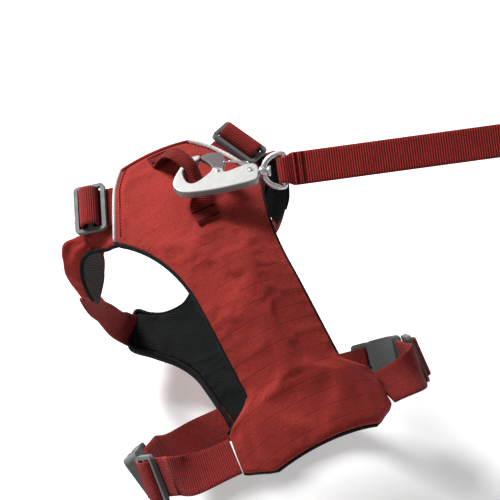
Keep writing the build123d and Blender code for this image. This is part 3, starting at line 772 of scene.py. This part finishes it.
for word, side in SIDES.items():
    neck_body, girth_body = f"neck_adjuster_{word}", f"girth_adjuster_{word}"
    plug_body = f"buckle_plug_{word}"
    start, end, out = on_side([NECK_START, NECK_END, NECK_OUT], side)
    route = [start + (end - start) * share for share in (-0.1, 0, 0.5, 0.85, 1)]
    route += list(on_side([(75.3, 58, -20.4), (74.6, 58.6, -22.6)], side))
    outs = 5 * [out] + list(on_side([(0.5, 0.75, 0.35), (0.6, 0.75, 0)], side))
    neck = strap(f"neck_strap_{word}", route, outs, 4 * [WEBBING_WIDE] + [24, 19, 14], WEBBING_THICK, STRAP)
    put(neck, "harness", "webbing_red", f"neck_webbing_{word}")
    place = strap_place(start, end, 0.6, out)
    soften(neck_body, f"neck_frame_{word}", neck_body, "hardware_grey", GREY, 0.75)
    fold = fold_over_bar(f"neck_fold_{word}", place, 2.2, 6.4, 5.9, STRAP)
    put(fold, neck_body, "webbing_red", f"neck_adjuster_fold_{word}")

    girth = list(on_side(GIRTH_ROUTE, side))
    buckle_start, buckle_end = on_side([BUCKLE_START, BUCKLE_END], side)
    side_out, buckle_out = on_side([SIDE_OUT, BUCKLE_OUT], side)
    soon = girth[-1] + (buckle_start - girth[-1]) * 0.08
    late = girth[-1] + (buckle_start - girth[-1]) * 0.6
    first = girth[0] + (girth[0] - girth[1]) * 0.12
    outs = on_side([(0.1, 0.66, 0.75), (0.1, 0.69, 0.72), (0.1, 0.8, 0.6), (0, 0.93, 0.35)], side)
    girth_strap = strap(f"girth_strap_{word}", [first] + girth + [soon, late, buckle_start],
                        list(outs) + 4 * [side_out], WEBBING_WIDE, WEBBING_THICK, STRAP)
    put(girth_strap, "harness", "webbing_red", f"girth_webbing_{word}")
    place = strap_place(girth[-1], buckle_start, 0.52, side_out)
    soften(girth_body, f"girth_frame_{word}", girth_body, "hardware_grey", GREY, 0.75)
    fold = fold_over_bar(f"girth_fold_{word}", place, 1.9, 4.5, 7.0, STRAP)
    put(fold, girth_body, "webbing_red", f"girth_adjuster_fold_{word}")

    soften(f"buckle_socket_{word}", f"socket_{word}", "harness", "hardware_grey", GREY, 0.9)
    soften(plug_body, f"plug_{word}", plug_body, "hardware_grey", GREY, 0.6)
    soften(f"buckle_prongs_{word}", f"prongs_{word}", plug_body, "hardware_grey", GREY, 0.4)

    origin, along, across, up = strap_place(buckle_start, buckle_end, 0, buckle_out)
    inner = [origin - up * 4.4 + along * reach for reach in (25.5, 40, 56, 58)]
    tail = on_side([(-28, 46, -145), (-26, 31, -145.9), (-26, 18, -145.9), (-26, 11.4, -145.9)], side)
    outs = 4 * [buckle_out] + list(on_side([(0, 0.3, -0.95)] + 3 * [(0, 0, -1)], side))
    belly = strap(f"belly_webbing_{word}", inner + list(tail), outs, WEBBING_WIDE, WEBBING_THICK, STRAP)
    put(belly, "harness", "webbing_red", f"belly_strap_{word}")

# ---------------------------------------------------------------- shoulder pads and chest straps

PAD_EDGES = [((62, 43.6, -17.4), (44, 52.4, -20)), ((62.5, 58, -24.8), (46, 56, -26)),
             ((64, 71, -30), (47, 55, -36)), ((59, 75, -41), (46, 56, -48)),
             ((54, 74, -55), (45, 59, -60)), ((50.5, 70, -67), (45.5, 61, -70))]
PAD_TOP = ((60.6, 40.8, -15.8), (42.2, 50, -18.4))
PAD_THICK = 4.6
LEAF_EDGE_START = [(40.6, 49.0, -16.6), (42.7, 51.2, -18.9), (45, 54.2, -22.3)]
CHEST_STRAP_ROUTE = [(47.2, 66.3, -66), (50, 60, -84), (55, 52, -101), (60.5, 42, -125),
                     (63.6, 35, -137.5), (62, 29, -144.4)]
CHEST_STRAP_OUT = [(0.83, -0.5, -0.1), (0.95, 0.1, 0.1), (0.97, 0.25, 0.12), (0.9, 0.4, -0.1),
                   (0.7, 0.62, -0.3), (0.6, 0.7, -0.4)]


def along_edge(points, side, pick):
    line = resample(smooth_line(on_side(points, side)), 0.1)[1]
    return np.column_stack([np.interp(pick, np.linspace(0, 1, len(line)), line[:, k]) for k in range(3)])


def pad_sheets(side, edges, rows, columns, thick, shares, lift, crease=0.0):
    """Upper and lower surfaces of a shoulder pad, crowned between its edges, and its middle surface."""
    pick = np.linspace(0, 1, rows)
    a = along_edge([f for f, r in edges], side, pick)
    b = along_edge([r for f, r in edges], side, pick)
    first, last = shares(pick)
    share = first[:, None] + (last - first)[:, None] * np.linspace(0, 1, columns)[None]
    line = a[:, None] * (1 - share)[..., None] + b[:, None] * share[..., None]
    travel = unit(np.broadcast_to(np.gradient((a + b) / 2, axis=0)[:, None], line.shape))
    across = unit(np.broadcast_to((b - a)[:, None], line.shape))
    normal = unit(np.cross(across, travel)) * side
    t = np.linspace(-1, 1, columns)[None, :]
    crown = (1 - t ** 2) ** 0.5 * 0.75 + 0.25
    ends = np.clip(np.minimum(pick, 1 - pick) / 0.06, 0, 1)[:, None] ** 0.5 * 0.6 + 0.4
    fold = crease * np.exp(-((share - 0.24) / 0.08) ** 2) * np.exp(-((pick[:, None] - 0.45) / 0.33) ** 4)
    reach = (thick / 2 * crown * ends * (1 - fold))[..., None]
    mid = line + normal * (lift - 3.5 * fold[..., None])
    return mid + normal * reach, mid - normal * reach, mid


def whole(pick):
    """The pad's full width, with its front edge standing a little forward of its line."""
    return -0.13 * np.sin(math.pi * np.clip(pick, 0, 1)), np.ones_like(pick)


def wide_leaf(pick):
    """Covers the pad's inside and leaves a rim at its front edge and tip."""
    return 0.1 + 0.3 * np.clip((pick - 0.8) / 0.2, 0, 1) ** 2, 1.06 + 0.14 * np.sin(math.pi * pick)


def leaf_shape(narrowest):
    """A leaf: its front edge bows forward and meets the rear edge at the tip."""
    def shares(pick):
        bow = np.clip(1 - ((pick - 0.5) / 0.52) ** 2, 0, 1) ** 0.6
        return 0.95 - (0.95 - narrowest) * bow, np.full_like(pick, 1.0)
    return shares


def pad_lift(places, normals):
    return 0.8 * wrinkle(places, (9, 9, 14), 5) + 0.35 * wrinkle(places, (5, 5, 6), 9)


for word, side in SIDES.items():
    upper, lower, mid = pad_sheets(side, [PAD_TOP] + PAD_EDGES, 40, 18, PAD_THICK, whole, 0, 0.6)
    pad = slab_between(f"shoulder_pad_cover_{word}", upper, lower, RED)
    inflate(pad, 1.0, 3.0)
    press(pad, pad_lift)
    put(pad, "harness", "ripstop_red", f"shoulder_pad_{word}")

    # The right leaf takes the almost black lining copy: painted shade on that side.
    shares, cloth = (leaf_shape(0.4), WARM_LINING) if side > 0 else (wide_leaf, SHADED_LINING)
    upper, lower, mid = pad_sheets(side, PAD_EDGES[1:], 30, 12, 1.8, shares, -PAD_THICK / 2 - 0.75)
    leaf = slab_between(f"shoulder_leaf_{word}", upper, lower, cloth)
    del leaf["rim"]
    refine(leaf)
    put(leaf, "harness", "lining_dark", f"shoulder_lining_{word}")
    # A black rolled edge along each leaf's front: partly binding, partly painted shade where the leaf's edge
    # lies in shadow.
    edge = np.vstack([on_side(LEAF_EDGE_START, side), mid[::3, 0]])
    edge_out = unit(np.cross(mid[:, -1] - mid[:, 0], (0, 0, 1)))[::3]
    edge_out = np.vstack([edge_out[:1]] * 3 + [edge_out])
    put(roll(f"shoulder_leaf_edge_{word}", edge, edge_out, 1.2, 1.2, BLACK), "harness", "binding_black")

    chest = strap(f"chest_webbing_{word}", on_side(CHEST_STRAP_ROUTE, side), on_side(CHEST_STRAP_OUT, side),
                  [13, 13, 14, 17, 20, 22], WEBBING_THICK, STRAP, rib_high=0.03)
    put(chest, "harness", "webbing_red", f"chest_strap_{word}")

# ---------------------------------------------------------------- chest panel

CHEST_TOP = -142.0
CHEST_THICK = 5.6


def chest_half(x):
    return np.interp(x, [-38.5, 0, 8, 14.5, 21, 28, 54, 76], [11, 11, 11.3, 12, 14, 17.5, 38, 22])


def chest_grid(rows, columns, inset):
    """Rows from the dipped front edge to the tail."""
    xs = np.linspace(76 - inset, -38.5 + inset, rows)
    y = (chest_half(xs) - inset)[:, None] * np.linspace(-1, 1, columns)[None]
    dip = np.clip(11 * (1 - (y / 22) ** 2), 0, 11)
    x = xs[:, None] - dip * np.clip(1 - (76 - xs) / 34, 0, 1)[:, None]
    return np.dstack([x, y])


def chest_lift(places, normals):
    edge = np.exp(-(np.maximum(chest_half(places[:, 0]) - np.abs(places[:, 1]), 0) / 4) ** 2)
    return 0.45 * wrinkle(places, (14, 12, 50), 2) + 0.3 * edge * wrinkle(places, (4, 4, 50), 8)


grid = chest_grid(60, 30, 2.4)
flat = np.full(grid.shape[:2], CHEST_TOP)
top_pad = slab("chest_panel_mesh_lining", grid, flat + 0.1, flat - 2.6, LINING)
inflate(top_pad, 0.9, 3.0)
press(top_pad, chest_lift)
put(top_pad, "harness", "lining_dark", "chest_panel_lining", "chest_panel_foam")
under = slab("chest_panel_cover", grid, flat - 2.8, flat - CHEST_THICK, RED)
inflate(under, 0.7, 3.0)
press(under, chest_lift)
put(under, "harness", "ripstop_red", "chest_panel_shell")

rim = [(76, 22), (65, 30), (54, 38), (41, 27.7), (28, 17.5), (14.5, 12), (0, 11), (-20, 11), (-37.4, 10.6)]
outline = [(70, 15), (66, 8), (65, 0), (66, -8), (70, -15)]
outline = outline[::-1] + rim + [(-38.2, 0)] + [(x, -y) for x, y in rim[::-1]]
ring = np.array([(x, y, CHEST_TOP - CHEST_THICK / 2) for x, y in outline])
inward = ring * (0.985, 0.955, 1)
put(roll("chest_panel_edge", inward, (0, 0, 1), 3.1, 1.45, BLACK, closed=True, bead=0.02), "harness",
    "binding_black", "chest_panel_binding")

under_z = CHEST_TOP - CHEST_THICK - 0.35 - 0.9
front_route = [(64, 0, under_z), (58, 0, under_z), (55, 0, under_z - 0.4), (53.2, 0, -151.8), (52, 0, -153.4),
               (50, 0, -154.4), (48, 0, -153.4), (46.8, 0, -151.8), (45, 0, under_z - 0.4), (42, 0, under_z),
               (36, 0, under_z)]
front_out = [(0, 0, -1)] * 3 + [(0.9, 0, -0.4), (0.6, 0, -0.8), (0, 0, -1), (-0.6, 0, -0.8), (-0.9, 0, -0.4)]
front_out += 3 * [(0, 0, -1)]
front_loop = strap("front_loop_webbing", front_route, front_out, 15, 1.7, STRAP, 1.15, 0.09)
put(front_loop, "harness", "webbing_red", "front_leash_loop")
front_tacks = [[(x, y, under_z - 1.0) for y in (-6.5, 0, 6.5)] for x in (38, 42.5, 57.5, 62)]
put(stitches("front_loop_stitches", front_tacks, (0, 0, -1), pitch=1.5, length=1.3, thick=0.35), "harness",
    "thread_dark")


def d_ring(name, origin, x_dir, y_dir, bar_half, depth, wire, body, *replaced):
    """A steel D ring: its bar lies along y_dir at the origin and its bow towards -x_dir."""
    radius = (bar_half ** 2 + depth ** 2) / (2 * depth)
    reach = math.pi - math.asin(bar_half / radius) if depth > radius else math.asin(bar_half / radius)
    turns = np.linspace(reach, -reach, 15)
    shape = [(radius - depth - radius * math.cos(a), radius * math.sin(a)) for a in turns]
    shape += [(0.25, bar_half * share) for share in (-0.8, -0.3, 0.3, 0.8)]
    x_dir, y_dir = np.array(x_dir), np.array(y_dir)
    route = [np.array(origin) + x_dir * x + y_dir * y for x, y in shape]
    ring = roll(name, route, np.cross(x_dir, y_dir), wire, wire, STEEL, 0.5, closed=True, square=2, sides=20)
    return put(ring, body, "steel_bright", *replaced)


d_ring("front_d_ring", (50, 0, -151), (0, 0, 1), (0, 1, 0), 10, 17, 1.75, "front_ring", "front_leash_ring")

# ---------------------------------------------------------------- snap hook


def basis(x_dir, z_dir):
    z = Vector(z_dir).normalized()
    x = Vector(x_dir)
    x = (x - z * x.dot(z)).normalized()
    return x, z.cross(x), z


HOOK_ORIGIN = Vector((41, -2.8, 18))
hook_x, hook_y, hook_z = basis((-0.45, -0.89, 0.03), (0.12, -0.028, 0.99))


def hook_point(u, v, w=0.0):
    return HOOK_ORIGIN + hook_x * u + hook_y * v + hook_z * w


def plate(name, outline, half, bevel, mat, per=8):
    """A flat part with rounded edges, from its outline in the hook's plane."""
    line = smooth_line([(u, v, 0) for u, v in outline], per, closed=True)
    at, line = resample(line, 0.45)
    line = line[:-1, :2]
    travel = unit(np.roll(line, -1, 0) - np.roll(line, 1, 0))
    inward = np.column_stack([-travel[:, 1], travel[:, 0]])
    area = 0.5 * np.sum(line[:, 0] * np.roll(line[:, 1], -1) - np.roll(line[:, 0], -1) * line[:, 1])
    inward = inward * (1 if area > 0 else -1)
    turns = np.linspace(0, math.pi / 2, 5)
    steps = [(bevel * (1 - math.cos(t)), half - bevel + bevel * math.sin(t)) for t in turns]
    levels = [(inset, -high) for inset, high in reversed(steps)] + steps
    verts, uvs = [], []
    for inset, high in levels:
        for point in line + inward * inset:
            verts.append(hook_point(point[0], point[1], high))
            uvs.append(point)
    count = len(line)
    faces = tube_faces(len(levels), count)[:-2]
    flat_line = [Vector((p[0], p[1], 0)) for p in line + inward * bevel]
    triangles = tessellate_polygon([flat_line])
    last = (len(levels) - 1) * count
    faces += [tuple(reversed(t)) for t in triangles] + [tuple(last + k for k in t) for t in triangles]
    obj = make_mesh(name, np.array([list(v) for v in verts]), faces, uvs, mat)
    work = bmesh.new()
    work.from_mesh(obj.data)
    bmesh.ops.recalc_face_normals(work, faces=work.faces)
    work.to_mesh(obj.data)
    work.free()
    return obj


def cut(obj, low, high):
    """Cut a box out of a part, given by two corners in the hook's plane."""
    corners = [list(hook_point(*corner)) for corner in itertools.product(*zip(low, high))]
    faces = [(0, 1, 3, 2), (4, 6, 7, 5), (0, 4, 5, 1), (2, 3, 7, 6), (0, 2, 6, 4), (1, 5, 7, 3)]
    box = make_mesh("cutter", corners, faces, [(0, 0)] * 8, SILVER, False)
    tool = obj.modifiers.new("cut", "BOOLEAN")
    tool.operation = "DIFFERENCE"
    tool.object = box
    bake_modifiers(obj)
    bpy.data.objects.remove(box)


HOOK_OUTLINE = [(4.2, 15.3), (-2.6, 12.6), (-8.4, 3.4), (-12, -7), (-9, -13.6), (-1.7, -15.4),
                (13, -13.9), (28.4, -10.4), (36, -8.0), (38.5, -6.2), (39.3, -2.5), (39.2, 2.4), (37.8, 5.4),
                (34.5, 6.5),
                (28.5, 4.4), (19.6, 0.6), (17.8, 3.6), (12.6, 4.4), (10.6, 1), (4.8, -4.8), (-0.3, -7.8),
                (-4, -5.7), (-5.6, 2.6), (-0.3, 8.6), (4.3, 12.1)]
hook_body = plate("hook_body_cast", HOOK_OUTLINE, 2.7, 0.8, SILVER)
cut(hook_body, (10.25, -3.3, -1.9), (22.75, 8.1, 1.9))
hook_body.modifiers.new("shade", "WEIGHTED_NORMAL")
# Faces turned away from the hook's flat faces take the darker silver: painted shade on the hook's sides.
hook_body.data.materials.append(SHADED_HOOK_SILVER)
for face in hook_body.data.polygons:
    face.material_index = int(abs(face.normal.dot(hook_z)) < 0.45)
put(hook_body, "snap_hook", "hook_silver", "hook_body")

GATE_OUTLINE = [(5, 14.5), (9.7, 17.7), (14, 18), (18.1, 17.3), (19.9, 10.4), (17.9, 2), (15, -1.2),
                (12.2, 1.6), (11.3, 6.8), (8.4, 10.7)]
gate = plate("hook_gate_lever", GATE_OUTLINE, 1.6, 0.7, LEVER)
put(gate, "hook_gate", "gate_dark", "hook_gate")
spring_line = [hook_point(18.6, 8.6, 2.45), hook_point(24, 8.1, 2.45), hook_point(29.5, 7.2, 2.4),
               hook_point(32.6, 6.7, 2.1), hook_point(33.4, 7.6, 1.8), hook_point(32.4, 8.4, 1.8),
               hook_point(29, 8.6, 2.0), hook_point(22, 9.4, 2.4)]
spring = roll("gate_wire_spring", spring_line, hook_z, 0.42, 0.42, STEEL, 0.4, square=2, sides=10)
put(spring, "snap_hook", "steel_bright", "gate_spring")
RIVET = (34.6, 0.9)
# A thin raised ring round the tail rivet, in the darker silver: painted shade round the rivet.
rim = [hook_point(RIVET[0] + 1.7 * math.cos(a), RIVET[1] + 1.7 * math.sin(a), 2.7)
       for a in np.linspace(0, math.tau, 12, endpoint=False)]
rim = roll("tail_rivet_rim", rim, hook_z, 0.22, 0.22, SHADED_HOOK_SILVER, 0.3, closed=True, square=2, sides=8)
put(rim, "snap_hook", "steel_bright")
head = [hook_point(*RIVET, level) for level in (2.5, 2.7, 2.9, 2.98)]
head_wide = [1.2, 1.2, 1.1, 0.7]
head = roll("tail_rivet_head", head, hook_x, head_wide, head_wide, STEEL, 0.1, square=2, sides=20)
put(head, "snap_hook", "steel_bright")
soften("gate_pin", "gate_pivot_pin", "snap_hook", "steel_bright", STEEL, 0.25)
soften("swivel_rivet", "swivel_rivet_head", "snap_hook", "steel_bright", STEEL, 0.45)

# ---------------------------------------------------------------- leash

BAR_MIDDLE = hook_point(39.3 + 0.6 + 2.3 + 12.4, 1.5)
leash_x, leash_y, leash_z = basis((-0.39, -0.92, 0.08), (0.757, -0.27, 0.594))
STRAP_FROM, STRAP_TO, STRAP_SIDE, SAG = 6.0, 154.0, -1.15, 1.6
bar_dir = (leash_z - hook_x * leash_z.dot(hook_x)).normalized()
d_ring("leash_d_ring", BAR_MIDDLE, hook_x, bar_dir, 9.6, 12.4, 1.6, "leash", "leash_ring")
hub_line = [hook_point(u, 1.5) for u in (39.95, 40.6, 42.2, 43.8, 44.45)]
hub_wide = [2.5, 2.9, 3.0, 2.9, 2.5]
hub = roll("leash_ring_hub", hub_line, hook_z, hub_wide, hub_wide, STEEL, 0.3, square=2, sides=24)
put(hub, "leash", "steel_bright")


def leash_point(a, b):
    return BAR_MIDDLE + leash_x * a + leash_y * b


leash_route = [leash_point(at, STRAP_SIDE + drop)
               for at, drop in ((STRAP_FROM, 0), (42, 0), (80, -0.1), (118, 0.5), (STRAP_TO, SAG))]
guide = bpy.data.curves.new("leash_guide", "CURVE")
guide.dimensions = "3D"
guide.resolution_u = 60
line = guide.splines.new("NURBS")
line.points.add(len(leash_route) - 1)
for point, at in zip(line.points, leash_route):
    point.co = (*(at * MM), 1)
line.order_u = 3
line.use_endpoint_u = True
guide_object = bpy.data.objects.new("leash_guide", guide)
scene.collection.objects.link(guide_object)
sampled = bpy.data.meshes.new_from_object(guide_object.evaluated_get(bpy.context.evaluated_depsgraph_get()))
leash_path = [v.co.copy() for v in sampled.vertices]
bpy.data.meshes.remove(sampled)
bpy.data.objects.remove(guide_object)

leash_rows = np.array([list(p / MM) for p in leash_path])
leash = strap("leash_strap", leash_rows[::4], -leash_y, 20, 2.1, LEASH, 1.5, 0.1, per=4)
put(leash, "leash", "webbing_red", "leash_webbing")

fold_line = [leash_point(9, 1.45), leash_point(5, 2.2), leash_point(2.2, 2.9), leash_point(0, 3.1),
             leash_point(-2.2, 2.2), leash_point(-3.1, 0), leash_point(-2.2, -2.2), leash_point(0, -3.1),
             leash_point(2.2, -2.6), leash_point(5, -1.5), leash_point(7, -1.15)]
fold_out = 4 * [leash_y] + [(leash_y - leash_x) / 1.4, -leash_x, (-leash_y - leash_x) / 1.4] + 4 * [-leash_y]
fold_wide = [20, 19.5, 16.5, 15.2, 15.2, 15.2, 15.2, 15.4, 17, 19.4, 20]
fold = strap("leash_fold_webbing", fold_line, fold_out, fold_wide, 1.6, LEASH, 1.3, 0.08)
put(fold, "leash", "webbing_red", "leash_fold")

LOOP_AT, LOOP_RADIUS = STRAP_TO + 78, 22.0 - 1.1
hand = [leash_point(STRAP_TO - 8, STRAP_SIDE + SAG + 1.9)]
hand_out = [leash_y]
for reach, lift in ((1.5, 2.1), (12, 3.6), (36, 10.4), (58, 17)):
    hand.append(leash_point(STRAP_TO + reach, STRAP_SIDE + SAG + lift))
    hand_out.append(leash_y)
for degrees in range(90, -91, -15):
    turn = math.radians(degrees)
    hand.append(leash_point(LOOP_AT + LOOP_RADIUS * math.cos(turn),
                            STRAP_SIDE + SAG + LOOP_RADIUS * math.sin(turn)))
    hand_out.append(leash_x * math.cos(turn) + leash_y * math.sin(turn))
for reach, lift in ((58, -17), (36, -10.4), (12, -3.6), (1.5, -2.1), (-8, -2.3)):
    hand.append(leash_point(STRAP_TO + reach, STRAP_SIDE + SAG + lift))
    hand_out.append(-leash_y)
hand_loop = strap("leash_hand_loop_webbing", hand, hand_out, 20, 2.0, LEASH, 1.5, 0.1, per=6)
put(hand_loop, "leash", "webbing_red", "leash_hand_loop")

tack_lines = [[leash_point(x, STRAP_SIDE - 1.25) + leash_z * z for z in (-9, 0, 9)]
              for x in (7, 7.7, 11.2, 11.9)]
put(stitches("leash_fold_stitches", tack_lines, -leash_y, pitch=1.5, length=1.3, thick=0.34), "leash",
    "thread_dark")

# ---------------------------------------------------------------- floor

work = bmesh.new()
bmesh.ops.create_grid(work, x_segments=1, y_segments=1, size=6)
floor_mesh = bpy.data.meshes.new("floor")
work.to_mesh(floor_mesh)
work.free()
floor = bpy.data.objects.new("floor", floor_mesh)
scene.collection.objects.link(floor)
floor.location.z = cad_low.z - 0.002
paper = Shader("paper floor", (0.88, 0.88, 0.88), 0.9, specular=0.2)
paper.tint(paper.ramp(paper.noise(3, 2), 0.3, 0.7, 0.99, 1.01))
paper.bsdf.inputs["Emission Color"].default_value = (1, 1, 1, 1)
paper.bsdf.inputs["Emission Strength"].default_value = 0.3
floor_mesh.materials.append(paper.mat)
